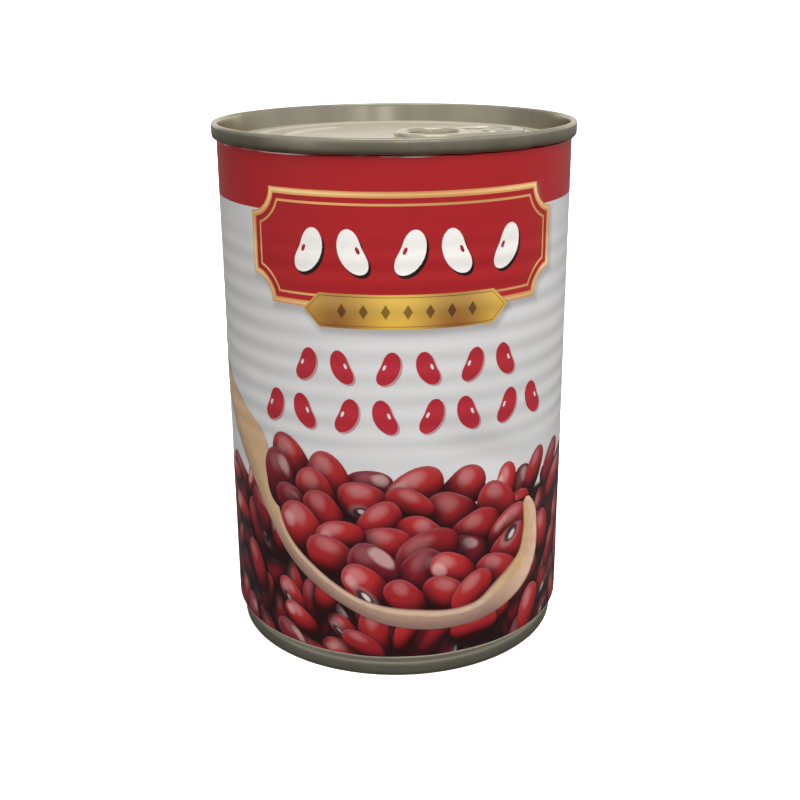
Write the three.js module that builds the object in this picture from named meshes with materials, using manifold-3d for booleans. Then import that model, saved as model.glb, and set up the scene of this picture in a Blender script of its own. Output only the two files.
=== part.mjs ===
// A steel food can of kidney beans with a paper label and a ring-pull lid.
// Millimetres, +Z up. The origin is the centre of the foot, and the label's front faces -Y.
import * as THREE from 'three';
import { mergeVertices } from 'three/addons/utils/BufferGeometryUtils.js';
import Module from 'manifold-3d';

const wasm = await Module();
wasm.setup();

// The whole can
const HEIGHT = 110;
const SIDES = 72;
const FIT_GAP = 0.1;

// Steel body: a straight wall, drawn in at the foot so that cans stack
const BODY_R = 36.2;
const NECK_R = 34.6;
const NECK_FROM = 3.25;
const NECK_TO = 5.1;
const NECK_STEPS = 4;
const BODY_TOP = 104.95;

// Paper label, wrapped round the wall
const LABEL_R = 36.55;
const LABEL_T = 0.25;
const LABEL_FROM = 5.27;
const LABEL_TO = 106.75;

// A shallow dent in the wall, below the middle of the label on the right
const DENT_DEPTH = 0.7;
const DENT_ARC = 19;
const DENT_Z = 47.5;
const DENT_TILT = THREE.MathUtils.degToRad(-22);
const DENT_LENGTH = 9;
const DENT_WIDTH = 4.2;
const DENT_ROW_STEP = 2.6;
const DENT_ROWS = 4;

// Double seam of the lid, and the wall that drops from it to the panel
const SEAM_R = 37.41;
const SEAM_DROP = 3.05;
const SEAM_INNER_R = 36.15;
const CHUCK_R = 35.45;
const LID_UNDERSIDE = 105.05;
const GROOVE_Z = 105.4;
const PANEL_Z = 106.2;
const RING_STEP = 0.15;
const RING_R = 33.2;
const BEAD_R = 30.2;
const BEAD_RISE = 0.5;
const BEAD_HALF = 1;

// Bottom end: its seam is the foot
const FOOT_R = 35.42;
const FOOT_SEAM = 3.1;
const FOOT_FLAT_FROM = 34.45;
const FOOT_FLAT_TO = 35.05;
const FOOT_ROUND = 0.4;
const BASE_PANEL_Z = 3.2;
const BASE_PANEL_R = 31.6;
const BASE_GROOVE_Z = 4;

// Ring-pull tab, riveted to the panel and turned a little about its rivet
const RIVET_X = 20.3;
const RIVET_Y = -1.2;
const TAB_TURN = THREE.MathUtils.degToRad(18);
const TAB_CLEAR = 0.3;
const TAB_THICK = 1.45;
const TAB_EDGE = 0.45;
const NOSE_R = 6.5;
const LOOP_R = 8.4;
const LOOP_BACK = 12.6;
const FINGER_BACK = 13.4;
const FINGER_LONG = 4.9;
const FINGER_WIDE = 5.6;
const WEB_THICK = 0.7;
const WEB_BACK = 0.6;
const WEB_LONG = 5.2;
const WEB_WIDE = 4.3;
const ARC_STEPS = 20;

// Rivet
const RIVET_STEM_R = 1.7;
const RIVET_HEAD_R = 2.7;
const RIVET_HEAD = 0.55;
const RIVET_SIDES = 24;

const STEEL = new THREE.MeshStandardMaterial({ color: 0x8f8977, roughness: 0.38, metalness: 1 });
const LID_STEEL = new THREE.MeshStandardMaterial({ color: 0xa7a08a, roughness: 0.34, metalness: 1 });
const TAB_STEEL = new THREE.MeshStandardMaterial({ color: 0xc9c3b0, roughness: 0.28, metalness: 1 });
const PAPER = new THREE.MeshStandardMaterial({ color: 0xb03438, roughness: 0.45, metalness: 0 });

// How far the dent pushes the wall in, at an arc length from the front's centre and a height.
function dentAt(arc, z) {
  const across = arc - DENT_ARC;
  const up = z - DENT_Z;
  const along = (across * Math.cos(DENT_TILT) + up * Math.sin(DENT_TILT)) / DENT_LENGTH;
  const beside = (up * Math.cos(DENT_TILT) - across * Math.sin(DENT_TILT)) / DENT_WIDTH;
  return DENT_DEPTH * Math.exp(-along * along - beside * beside);
}

// Heights where the wall has a ring of vertices: close together over the dent.
function wallRows() {
  const rows = [];
  for (let i = -DENT_ROWS; i <= DENT_ROWS; i += 1) {
    rows.push(DENT_Z + i * DENT_ROW_STEP);
  }
  return rows;
}

// A closed profile of [radius, height] pairs, turned round the can's axis.
function turned(profile, sides = SIDES) {
  const points = profile.map(([radius, height]) => new THREE.Vector2(radius, height));
  const geometry = new THREE.LatheGeometry(points, sides);
  geometry.rotateX(Math.PI / 2);
  return geometry;
}

// The same with the wall's vertices pushed in by the dent.
function turnedWithDent(profile, wallRadius) {
  const geometry = turned(profile);
  const places = geometry.attributes.position;
  for (let i = 0; i < places.count; i += 1) {
    const x = places.getX(i);
    const y = places.getY(i);
    const radius = Math.hypot(x, y);
    if (radius > wallRadius - FIT_GAP / 2) {
      const arc = LABEL_R * Math.atan2(x, -y);
      const share = 1 - dentAt(arc, places.getZ(i)) / radius;
      places.setXY(i, x * share, y * share);
    }
  }
  geometry.computeVertexNormals();
  return geometry;
}

function bodyGeometry() {
  const profile = [
    [0, BASE_GROOVE_Z + 0.45],
    [NECK_R - 0.7, BASE_GROOVE_Z + 0.45],
    [NECK_R - 0.7, NECK_FROM],
  ];
  for (let i = 0; i <= NECK_STEPS; i += 1) {
    const t = i / NECK_STEPS;
    const swell = (1 - Math.cos(Math.PI * t)) / 2;
    profile.push([NECK_R + (BODY_R - NECK_R) * swell, NECK_FROM + (NECK_TO - NECK_FROM) * t]);
  }
  for (const z of wallRows()) {
    profile.push([BODY_R, z]);
  }
  profile.push([BODY_R, BODY_TOP], [0, BODY_TOP]);
  return turnedWithDent(profile, BODY_R);
}

function labelGeometry() {
  const inner = LABEL_R - LABEL_T;
  const rows = [LABEL_FROM, ...wallRows(), LABEL_TO];
  const outside = rows.map((z) => [LABEL_R, z]);
  const inside = rows.map((z) => [inner, z]).reverse();
  const profile = [...outside, ...inside, [LABEL_R, LABEL_FROM]];
  return turnedWithDent(profile, inner);
}

// Lid: plug that fills the mouth, seam round it, groove, raised ring, bead and panel.
function lidGeometry() {
  const under = HEIGHT - SEAM_DROP;
  return turned([
    [0, LID_UNDERSIDE],
    [BODY_R, LID_UNDERSIDE],
    [BODY_R, under],
    [SEAM_R - 0.16, under],
    [SEAM_R, under + 0.25],
    [SEAM_R, HEIGHT - 0.9],
    [SEAM_R - 0.2, HEIGHT - 0.27],
    [(SEAM_R + SEAM_INNER_R) / 2, HEIGHT],
    [SEAM_INNER_R + 0.2, HEIGHT - 0.2],
    [SEAM_INNER_R, HEIGHT - 0.7],
    [CHUCK_R, GROOVE_Z + 0.25],
    [CHUCK_R - 0.35, GROOVE_Z],
    [RING_R + 1, GROOVE_Z],
    [RING_R + 0.35, PANEL_Z],
    [RING_R, PANEL_Z + RING_STEP],
    [BEAD_R + BEAD_HALF, PANEL_Z + RING_STEP],
    [BEAD_R, PANEL_Z + BEAD_RISE],
    [BEAD_R - BEAD_HALF, PANEL_Z],
    [0, PANEL_Z],
  ]);
}

// Bottom end: recessed panel, groove, and the seam that the can stands on.
function baseGeometry() {
  return turned([
    [0, BASE_PANEL_Z],
    [BASE_PANEL_R, BASE_PANEL_Z],
    [BASE_PANEL_R + 0.6, BASE_GROOVE_Z],
    [BASE_PANEL_R + 1.4, BASE_GROOVE_Z],
    [FOOT_FLAT_FROM - 0.75, BASE_PANEL_Z],
    [FOOT_FLAT_FROM - 0.3, FOOT_ROUND],
    [FOOT_FLAT_FROM, 0],
    [FOOT_FLAT_TO, 0],
    [FOOT_R, FOOT_ROUND],
    [FOOT_R, FOOT_SEAM - 0.3],
    [FOOT_R - 0.3, FOOT_SEAM],
    [NECK_R - 0.7 - FIT_GAP, FOOT_SEAM],
    [NECK_R - 0.7 - FIT_GAP, BASE_GROOVE_Z + 0.35],
    [0, BASE_GROOVE_Z + 0.35],
  ]);
}

// Egg shape round two circles on the tab's middle line, in by an inset.
function tabOutline(inset) {
  const nose = NOSE_R - inset;
  const loop = LOOP_R - inset;
  const lean = Math.acos((nose - loop) / LOOP_BACK);
  const shape = new THREE.Shape();
  shape.absarc(0, 0, nose, -lean, lean, false);
  shape.absarc(-LOOP_BACK, 0, loop, lean, 2 * Math.PI - lean, false);
  shape.closePath();
  return shape;
}

function ellipse(back, long, wide) {
  const shape = new THREE.Shape();
  shape.absellipse(-back, 0, long, wide, 0, 2 * Math.PI, false, 0);
  return shape;
}

function slab(shape, from, to) {
  const geometry = new THREE.ExtrudeGeometry(shape, {
    depth: to - from,
    bevelEnabled: false,
    curveSegments: ARC_STEPS,
  });
  geometry.translate(0, 0, from);
  return geometry;
}

function solidOf(geometry) {
  const bare = geometry.clone();
  bare.deleteAttribute('normal');
  bare.deleteAttribute('uv');
  const merged = mergeVertices(bare, 1e-4);
  return new wasm.Manifold(new wasm.Mesh({
    numProp: 3,
    vertProperties: new Float32Array(merged.attributes.position.array),
    triVerts: new Uint32Array(merged.index.array),
  }));
}

function geometryOf(solid) {
  const mesh = solid.getMesh();
  const geometry = new THREE.BufferGeometry();
  geometry.setAttribute('position', new THREE.BufferAttribute(mesh.vertProperties, 3));
  geometry.setIndex(new THREE.BufferAttribute(mesh.triVerts, 1));
  geometry.computeVertexNormals();
  return geometry;
}

// Tab: rolled edge all round, a finger loop behind, and a thin web that the rivet holds.
function tabGeometry() {
  const rolled = new THREE.ExtrudeGeometry(tabOutline(TAB_EDGE), {
    depth: TAB_THICK - 2 * TAB_EDGE,
    bevelThickness: TAB_EDGE,
    bevelSize: TAB_EDGE,
    bevelSegments: 2,
    curveSegments: ARC_STEPS,
  });
  rolled.translate(0, 0, TAB_EDGE);
  const finger = slab(ellipse(FINGER_BACK, FINGER_LONG, FINGER_WIDE), -1, TAB_THICK + 1);
  const well = slab(ellipse(WEB_BACK, WEB_LONG, WEB_WIDE), WEB_THICK, TAB_THICK + 1);
  const hole = slab(ellipse(0, RIVET_STEM_R + FIT_GAP, RIVET_STEM_R + FIT_GAP), -1, TAB_THICK);
  const cut = [finger, well, hole].reduce(
    (solid, geometry) => solid.subtract(solidOf(geometry)),
    solidOf(rolled),
  );
  return geometryOf(cut);
}

// Rivet: a stem through the web and a domed head on it.
function rivetGeometry() {
  const head = TAB_CLEAR + WEB_THICK + FIT_GAP;
  return turned([
    [0, FIT_GAP],
    [RIVET_STEM_R, FIT_GAP],
    [RIVET_STEM_R, head],
    [RIVET_HEAD_R, head],
    [RIVET_HEAD_R, head + RIVET_HEAD * 0.4],
    [RIVET_HEAD_R * 0.8, head + RIVET_HEAD],
    [0, head + RIVET_HEAD],
  ], RIVET_SIDES);
}

function piece(name, geometry, material) {
  const mesh = new THREE.Mesh(geometry, material);
  mesh.name = name;
  return mesh;
}

const can = new THREE.Group();
can.add(piece('can_body', bodyGeometry(), STEEL));
can.add(piece('label', labelGeometry(), PAPER));
can.add(piece('end_top', lidGeometry(), LID_STEEL));
can.add(piece('end_bottom', baseGeometry(), STEEL));

const pull = new THREE.Group();
pull.position.set(RIVET_X, RIVET_Y, PANEL_Z);
pull.rotation.z = TAB_TURN;
const tab = piece('pull_tab', tabGeometry(), TAB_STEEL);
tab.position.z = TAB_CLEAR;
pull.add(tab);
pull.add(piece('rivet', rivetGeometry(), TAB_STEEL));
can.add(pull);

export default can;
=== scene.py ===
"""A steel food can of kidney beans: fine metal ends, a wrapped paper label and its print.

Lengths inside the functions are millimetres; meshes are written in metres.
"""
from functools import partialmethod
from math import asin, ceil, cos, pi, radians, sin

import bpy
import numpy as np
from bpy.props import FloatProperty, FloatVectorProperty, IntProperty, PointerProperty
from mathutils import Matrix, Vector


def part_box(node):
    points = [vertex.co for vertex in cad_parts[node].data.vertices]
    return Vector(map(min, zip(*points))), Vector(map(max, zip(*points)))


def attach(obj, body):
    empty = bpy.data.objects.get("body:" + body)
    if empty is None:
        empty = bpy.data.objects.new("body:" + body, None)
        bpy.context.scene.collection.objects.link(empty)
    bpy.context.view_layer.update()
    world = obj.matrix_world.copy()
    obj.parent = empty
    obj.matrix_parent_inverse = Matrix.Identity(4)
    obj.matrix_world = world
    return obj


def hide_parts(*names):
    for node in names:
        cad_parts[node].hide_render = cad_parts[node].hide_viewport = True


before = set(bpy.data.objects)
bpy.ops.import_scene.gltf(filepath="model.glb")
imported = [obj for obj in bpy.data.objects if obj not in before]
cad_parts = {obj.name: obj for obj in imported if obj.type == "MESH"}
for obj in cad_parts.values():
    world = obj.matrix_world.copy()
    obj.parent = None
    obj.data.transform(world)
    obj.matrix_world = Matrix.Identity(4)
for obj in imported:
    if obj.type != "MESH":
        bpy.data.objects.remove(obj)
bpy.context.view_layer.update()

bl_info = {
    "name": "Food can with a paper label",
    "version": (1, 0, 0),
    "blender": (4, 5, 0),
    "location": "View3D > Sidebar > Can",
    "description": "Builds a ring-pull food can with a printed paper label round its packed frame",
    "category": "Add Mesh",
}

MM = 0.001


def node_box(node):
    """Lowest and highest corner of a node of the frame, in millimetres."""
    low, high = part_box(node)
    return np.array(low) / MM, np.array(high) / MM


# Sizes read from the frame
LID_LOW, LID_HIGH = node_box("end_top")
LABEL_LOW, LABEL_HIGH = node_box("label")
TAB_LOW, TAB_HIGH = node_box("pull_tab")
RIVET_LOW, RIVET_HIGH = node_box("rivet")
HEIGHT = LID_HIGH[2]
SEAM_R = LID_HIGH[0]
FOOT_R = node_box("end_bottom")[1][0]
LABEL_R = LABEL_HIGH[0]
LABEL_FROM = LABEL_LOW[2]
LABEL_TO = LABEL_HIGH[2]
WALL_TO = node_box("can_body")[1][2]
HALF_ROUND = pi * LABEL_R
RIVET_AT = (RIVET_LOW[:2] + RIVET_HIGH[:2]) / 2

# Paper and wall
PAPER = 0.12
WALL_R = LABEL_R - PAPER - 0.05
NECK_R = FOOT_R - 0.8
NECK_FROM = 3.1
NECK_TO = 5.1
LAP_LENGTH = 7.0
LAP_RAMP = 6.0
LAP_STAY = 0.9
RIB_FROM = 49.0
RIB_TO = 91.0
RIB_LOW = 0.3
PRINT_MIDDLE = 2.5
PLAQUE = (89.5, 33.0, 11.0, 5.0)
BAR = (78.2, 20.5, 3.3)

# Dent below the middle of the label, on the right
DENT_ARC = 19.0
DENT_Z = 47.5
DENT_TILT = radians(-22)
DENT_LENGTH = 9.0
DENT_WIDTH = 4.2

# Lid
SEAM_DROP = 3.05
SEAM_INNER_R = 36.15
CHUCK_R = 35.45
GROOVE_Z = 105.35
PANEL_Z = 106.2
RING_R = 33.3
RING_Z = PANEL_Z + 0.15
SCORE_R = 31.9
BEAD_R = 30.2
TAB_TURN = radians(18)

# Ink layers: the first lies this far off the paper, and each level this much higher
INK_FIRST = 0.014
INK_STEP = 0.008
HEAP_LEVELS = 9
SPOON_LEVEL = HEAP_LEVELS + 1

# The heap's outline rises and falls once round the can, and its dark ground ends below it
HEAP_WAVE = 1.4
HEAP_TURN = 0.17
HEAP_GROUND = 6.0


def linear(*rgb):
    """Scene-linear colour of an sRGB colour given as 0 to 255."""
    c = np.array(rgb, float) / 255
    return tuple(np.where(c <= 0.04045, c / 12.92, ((c + 0.055) / 1.055) ** 2.4))


def length(name, words, millimetres):
    """A length property."""
    return FloatProperty(name=name, description=words, default=millimetres * MM, unit="LENGTH")


class CanSizes(bpy.types.PropertyGroup):
    """Sizes of the wall and of the things printed on the label."""

    rib_pitch: length("Rib pitch", "Height from one rib of the steel wall to the next", 4.4)
    rib_depth: length("Rib depth", "How far the ribs show through the paper", 0.05)
    dent_depth: length("Dent depth", "Depth of the dent in the wall", 0.7)
    band_from: length("Band height", "Height where the plain band at the label's top begins", 96)
    heap_top: length("Heap height", "Mean height of the printed heap's outline", 42.4)
    heap_bean: length("Heap bean", "Half the length of a bean in the printed heap", 5.8)
    spoon_bean: length("Spoon bean", "Half the length of a bean printed in the spoon", 6.1)
    seed: IntProperty(name="Seed", description="Starts the random draws of the beans", default=11)


def colour(name, words, rgb):
    """A colour property whose default is an sRGB colour."""
    return FloatVectorProperty(
        name=name, description=words, subtype="COLOR", size=3, min=0, max=1, default=linear(*rgb))


class CanColours(bpy.types.PropertyGroup):
    """Colours of the label and of the metal."""

    paper: colour("Paper", "White of the label", (206, 205, 204))
    band: colour("Band", "Red of the band and the plaque", (161, 29, 33))
    gold: colour("Gold", "Trim of the plaque", (222, 166, 104))
    cream: colour("Cream", "Light figures on the plaque", (238, 234, 228))
    bean: colour("Bean", "Middle tone of a bean", (146, 26, 32))
    wood: colour("Wood", "Spoon", (204, 170, 132))
    steel: colour("Steel", "Foot", (184, 179, 160))
    lid: colour("Lid", "Tinplate of the lid and the wall", (198, 191, 169))
    tab: colour("Tab", "Pull tab and rivet", (228, 221, 202))


class Term:
    """A number in a material: Python's operators on it add Math nodes."""

    def __init__(self, look, socket):
        self.look = look
        self.socket = socket

    def math(self, operation, *others):
        return self.look.add("ShaderNodeMath", {"operation": operation}, self, *others)

    __add__ = __radd__ = partialmethod(math, "ADD")
    __mul__ = __rmul__ = partialmethod(math, "MULTIPLY")
    __sub__ = partialmethod(math, "SUBTRACT")
    __abs__ = partialmethod(math, "ABSOLUTE")
    sine = partialmethod(math, "SINE")
    cosine = partialmethod(math, "COSINE")
    least = partialmethod(math, "MINIMUM")

    def __rsub__(self, other):
        return self * -1 + other

    def __neg__(self):
        return self * -1

    def root(self):
        return self.math("MAXIMUM", 0).math("SQRT")

    def rise(self, low, high):
        """0 below low and 1 above high, with a smooth step between them."""
        return self.look.add(
            "ShaderNodeMapRange", {"interpolation_type": "SMOOTHSTEP"}, self, low, high, 0, 1)


class Nodes:
    """A node tree, and the methods that add nodes to it."""

    def __init__(self, tree):
        self.tree = tree

    def put(self, socket, value):
        """Links a term or a socket to an input, or sets a number or colour there."""
        if isinstance(value, Term):
            value = value.socket
        if isinstance(value, bpy.types.NodeSocket):
            self.tree.links.new(value, socket)
        elif socket.type == "RGBA":
            socket.default_value = (*tuple(value)[:3], 1)
        else:
            socket.default_value = value

    def node(self, kind, settings=None, *values, **named):
        """Adds a node: settings first, then its sockets in order, then sockets by name."""
        made = self.tree.nodes.new(kind)
        for key, value in (settings or {}).items():
            setattr(made, key, value)
        for socket, value in zip([s for s in made.inputs if s.enabled], values):
            self.put(socket, value)
        for key, value in named.items():
            self.put(made.inputs[key.replace("_", " ")], value)
        return made

    def add(self, kind, settings=None, *values, **named):
        """The same, and gives the first output as a term."""
        made = self.node(kind, settings, *values, **named)
        return Term(self, next(s for s in made.outputs if s.enabled))

    def mix(self, share, first, second):
        """Colour between two colours by a share from 0 to 1."""
        made = self.tree.nodes.new("ShaderNodeMix")
        made.data_type = "RGBA"
        for i, value in ((0, share), (6, first), (7, second)):
            self.put(made.inputs[i], value)
        return made.outputs[2]

    def coats(self, colour, *over):
        """A colour with others laid over it in turn, each by its share."""
        for share, next_colour in over:
            colour = self.mix(share, colour, next_colour)
        return colour

    def place(self):
        """Object coordinates in millimetres: the vector and its three terms."""
        made = self.tree.nodes.new("ShaderNodeTexCoord")
        scaled = self.node(
            "ShaderNodeVectorMath", {"operation": "SCALE"}, made.outputs["Object"], Scale=1 / MM)
        return scaled.outputs[0], self.split(scaled.outputs[0])

    def split(self, vector):
        parts = self.node("ShaderNodeSeparateXYZ", None, vector)
        return [Term(self, s) for s in parts.outputs]

    def reads(self, name):
        """The terms of a vector attribute or UV map."""
        return self.split(self.node("ShaderNodeAttribute", {"attribute_name": name}).outputs["Vector"])

    def noise(self, vector, scale, detail=2.0, stretch=None, **named):
        """Noise from 0 to 1 whose cells are about 1 / scale millimetres, or stretched."""
        if stretch:
            vector = self.node(
                "ShaderNodeVectorMath", {"operation": "MULTIPLY"}, vector, stretch).outputs[0]
        return self.add("ShaderNodeTexNoise", None, Vector=vector, Scale=scale, Detail=detail, **named)


class Look(Nodes):
    """A material with one Principled shader."""

    def __init__(self, name, **fixed):
        self.material = bpy.data.materials.new(name)
        self.material.use_nodes = True
        super().__init__(self.material.node_tree)
        self.shader = self.tree.nodes["Principled BSDF"]
        for socket, value in fixed.items():
            self.shader.inputs[socket.replace("_", " ")].default_value = value

    def bump(self, height, strength, distance):
        made = self.node("ShaderNodeBump", None, Strength=strength, Distance=distance, Height=height)
        self.put(self.shader.inputs["Normal"], made.outputs[0])

    def on_paper(self, colour, place, fibre, sizes, **sockets):
        """Print: the wall's ribs, in step with the ones in the mesh, and the paper's fibre."""
        x, y, z = place
        angle = x.math("ARCTAN2", -y)
        drift = ((angle + 1).cosine() + (angle * 4 + 3).cosine()) * 0.25
        ring = ((z + drift) * (2 * pi * MM / sizes.rib_pitch)).cosine()
        pull = (angle * 3 + z * 0.05).cosine() * 0.25 + 0.75
        inside = z.rise(RIB_FROM - 4, RIB_FROM + 4) * (1 - z.rise(RIB_TO - 4, RIB_TO + 4))
        self.bump(ring * pull * inside * 0.05 + fibre * 0.0024, 1.0, MM)
        return self.finish(Base_Color=colour, Roughness=0.37 + 0.1 * fibre, **sockets)

    def finish(self, **sockets):
        for socket, value in sockets.items():
            self.put(self.shader.inputs[socket.replace("_", " ")], value)
        return self.material


def join(*parts):
    """Arrays or numbers joined along a new last axis."""
    return np.stack(np.broadcast_arrays(*parts), -1)


def rotated(x, y, angle):
    """Places turned by an angle."""
    c, s = np.cos(angle), np.sin(angle)
    return c * x - s * y, s * x + c * y


def ease(t):
    """A smooth step for a share from 0 to 1."""
    return t * t * (3 - 2 * t)


def grid_faces(rows, columns, round_columns=False, round_rows=False):
    """Quads of a grid of rows by columns of vertices, closed round where asked."""
    row = np.arange(rows if round_rows else rows - 1)
    column = np.arange(columns if round_columns else columns - 1)
    r, c = np.meshgrid(row, column, indexing="ij")
    across = (c + 1) % columns
    up = (r + 1) % rows
    quads = [r * columns + c, r * columns + across, up * columns + across, up * columns + c]
    return np.stack(quads, -1).reshape(-1, 4)


def add_piece(name, points, faces, material, slot, replaces=(), normals=None, **attributes):
    """Mesh from points in millimetres, smooth, riding on the can.

    An attribute with two numbers a point becomes a UV map, and one with three a vector.
    """
    mesh = bpy.data.meshes.new(name)
    mesh.from_pydata((np.asarray(points) * MM).tolist(), [], [list(map(int, f)) for f in faces])
    mesh.validate()
    mesh.polygons.foreach_set("use_smooth", np.ones(len(mesh.polygons), bool))
    corners = np.empty(len(mesh.loops), np.int32)
    mesh.loops.foreach_get("vertex_index", corners)
    for key, values in attributes.items():
        values = np.asarray(values, np.float32)
        if values.shape[1] == 2:
            layer = mesh.uv_layers.new(name=key)
            layer.uv.foreach_set("vector", values[corners].ravel())
        else:
            layer = mesh.attributes.new(key, "FLOAT_VECTOR", "POINT")
            layer.data.foreach_set("vector", values.ravel())
    if normals is not None:
        mesh.normals_split_custom_set_from_vertices(normals.tolist())
    mesh.materials.append(material)
    mesh.update()
    made = bpy.data.objects.new(name, mesh)
    bpy.context.scene.collection.objects.link(made)
    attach(made, "root")
    if replaces:
        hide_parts(*replaces)
    return made


def rounded(corners):
    """Profile through corners of (radius, height, fillet).

    Each corner with a fillet becomes a quadratic curve that starts and ends that far from it.
    """
    places = np.array([c[:2] for c in corners], float)
    out = [places[0]]
    for i in range(1, len(corners) - 1):
        fillet = corners[i][2] if len(corners[i]) > 2 else 0
        if not fillet:
            out.append(places[i])
            continue
        back = places[i - 1] - places[i]
        ahead = places[i + 1] - places[i]
        start = places[i] + back * min(0.5, fillet / np.linalg.norm(back))
        end = places[i] + ahead * min(0.5, fillet / np.linalg.norm(ahead))
        t = np.linspace(0, 1, 6)[:, None]
        out.extend((1 - t) ** 2 * start + 2 * t * (1 - t) * places[i] + t ** 2 * end)
    out.append(places[-1])
    return np.array(out)


def resampled(profile, step):
    """The profile with points added so that none are further apart than step."""
    out = [profile[:1]]
    for a, b in zip(profile[:-1], profile[1:]):
        count = max(1, ceil(np.linalg.norm(b - a) / step))
        out.append(a + (b - a) * (np.arange(1, count + 1) / count)[:, None])
    return np.concatenate(out)


def turned(profile, sides):
    """Closed surface of a profile that starts and ends on the axis, turned round it.

    x = r sin(angle), y = -r cos(angle), z = height, with one vertex at each pole.
    Returns the points, the faces and the angle of each point.
    """
    ring = profile[1:-1]
    angle = np.arange(sides) * 2 * pi / sides
    radius, height = ring.T[:, :, None]
    body = join(radius * np.sin(angle), -radius * np.cos(angle), height).reshape(-1, 3)
    poles = np.array([[0, 0, profile[0, 1]], [0, 0, profile[-1, 1]]])
    faces = grid_faces(len(ring), sides, round_columns=True).tolist()
    first, last = len(body), len(body) + 1
    here = np.arange(sides)
    after = (here + 1) % sides
    top = (len(ring) - 1) * sides
    faces += np.stack([np.full(sides, first), after, here], -1).tolist()
    faces += np.stack([np.full(sides, last), top + here, top + after], -1).tolist()
    return np.concatenate([body, poles]), faces, np.append(np.tile(angle, len(ring)), [0, 0])


def waves(angle, counts, phases):
    """Mean of cosines that go round the can a whole number of times."""
    return sum(np.cos(n * angle + p) for n, p in zip(counts, phases)) / len(counts)


def dent(arc, z, depth):
    """How far the wall is pushed in: a long tilted bell."""
    along, beside = rotated(arc - DENT_ARC, z - DENT_Z, -DENT_TILT)
    return depth * np.exp(-(along / DENT_LENGTH) ** 2 - (beside / DENT_WIDTH) ** 2)


def ribs(arc, z, sizes):
    """Ribs of the wall as they show through the paper, uneven round the can."""
    pitch, depth = sizes.rib_pitch / MM, sizes.rib_depth / MM
    angle = arc / LABEL_R
    inside = RIB_LOW + (1 - RIB_LOW) / (1 + np.exp(-(z - RIB_FROM) / 2))
    inside = inside / (1 + np.exp((z - RIB_TO) / 2))
    pull = 0.55 + 0.45 * waves(angle + z / 60, (2, 3, 7), (0.4, 2.0, 4.1))
    drift = 0.5 * waves(angle, (1, 4), (1.0, 3.0))
    return depth * inside * pull * np.cos(2 * pi * (z + drift) / pitch)


def wall_radius(arc, z, sizes):
    """Outer radius of the paper at an arc length from the front and a height."""
    slack = 0.03 * waves(arc / LABEL_R + z / 45, (5, 9, 13), (0.2, 1.7, 2.9))
    return LABEL_R - 0.1 + ribs(arc, z, sizes) + slack - dent(arc, z, sizes.dent_depth / MM)


def on_label(arc, z, lift, sizes):
    """Point and normal on the paper's outer face, lifted by a little."""
    def point(a, h):
        radius = wall_radius(a, h, sizes) + lap_rise(a, LAP_RAMP) + lift
        angle = a / LABEL_R
        return join(radius * np.sin(angle), -radius * np.cos(angle), h)

    step = 0.05
    around = point(arc + step, z) - point(arc - step, z)
    up = point(arc, z + step) - point(arc, z - step)
    normal = np.cross(around, up)
    return point(arc, z), normal / np.linalg.norm(normal, axis=-1, keepdims=True)


def lap_rise(arc, drop=0.0):
    """The paper's end lies on its start: a slow climb, then one thickness up to its edge.

    Ink that crosses the edge stays up for a moment and comes down over the length of the drop.
    """
    past = np.mod(arc + HALF_ROUND, 2 * HALF_ROUND)
    climb = np.clip((past - 2 * HALF_ROUND + LAP_RAMP) / LAP_RAMP, 0, 1)
    stay = LAP_LENGTH + (LAP_STAY if drop else 0)
    fall = np.clip(1 - (past - stay) / max(drop, 0.001), 0, 1)
    return PAPER * (ease(fall) + ease(climb))


# Materials

PRINT = {"Specular_IOR_Level": 0.3, "Coat_Roughness": 0.25, "Coat_Weight": 0.12}


def steel_look(name, base, rough, grain, dark, painted_shade=None, metal=1.0, lacquer=None):
    """Tinplate: drawn lines, round the can or up it by the grain, mottled tone, and dull specks.

    Painted shade darkens it and makes it rougher from one height down to another, outside a
    radius. Pale lacquer hides the metal inside another radius.
    """
    look = Look(name, Specular_Tint=(1, 0.97, 0.9, 1))
    base = np.array(base)
    vector, (x, y, z) = look.place()
    out = (x * x + y * y).root()
    lines = look.noise(vector, 1.0, 3, stretch=(0.15, 0.15, grain))
    cloud = look.noise(vector, 0.12, 3)
    specks = look.noise(vector, 1.7, 4).rise(0.64, 0.78)
    mottle = cloud.rise(0.3, 0.7) * 0.35 + lines.rise(0.36, 0.62) * 0.65
    tone = look.coats(base * dark, (mottle, base), (specks * 0.16, base * 0.5))
    if painted_shade:
        top, bottom, radius = painted_shade
        # Painted shade: mixed towards dark brown from the top height down to the bottom one, outside the
        # radius
        low = (1 - (z + cloud - 0.5).rise(bottom, top)) * out.rise(radius - 0.1, radius + 0.3)
        tone = look.mix(low * 0.62, tone, base * (0.32, 0.25, 0.2))
        rough = low * 0.15 + rough
    if lacquer:
        bare = out.rise(lacquer - 0.2, lacquer + 0.2)
        tone = look.mix((1 - bare) * 0.7, tone, base * (0.583, 0.561, 0.531))
        metal = bare * 0.9 + 0.1
    look.bump(lines + cloud * 0.4, 0.2, 0.00003)
    rough = rough + 0.06 * (cloud - 0.5) + specks * 0.08
    return look.finish(Base_Color=tone, Roughness=rough, Metallic=metal)


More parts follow.
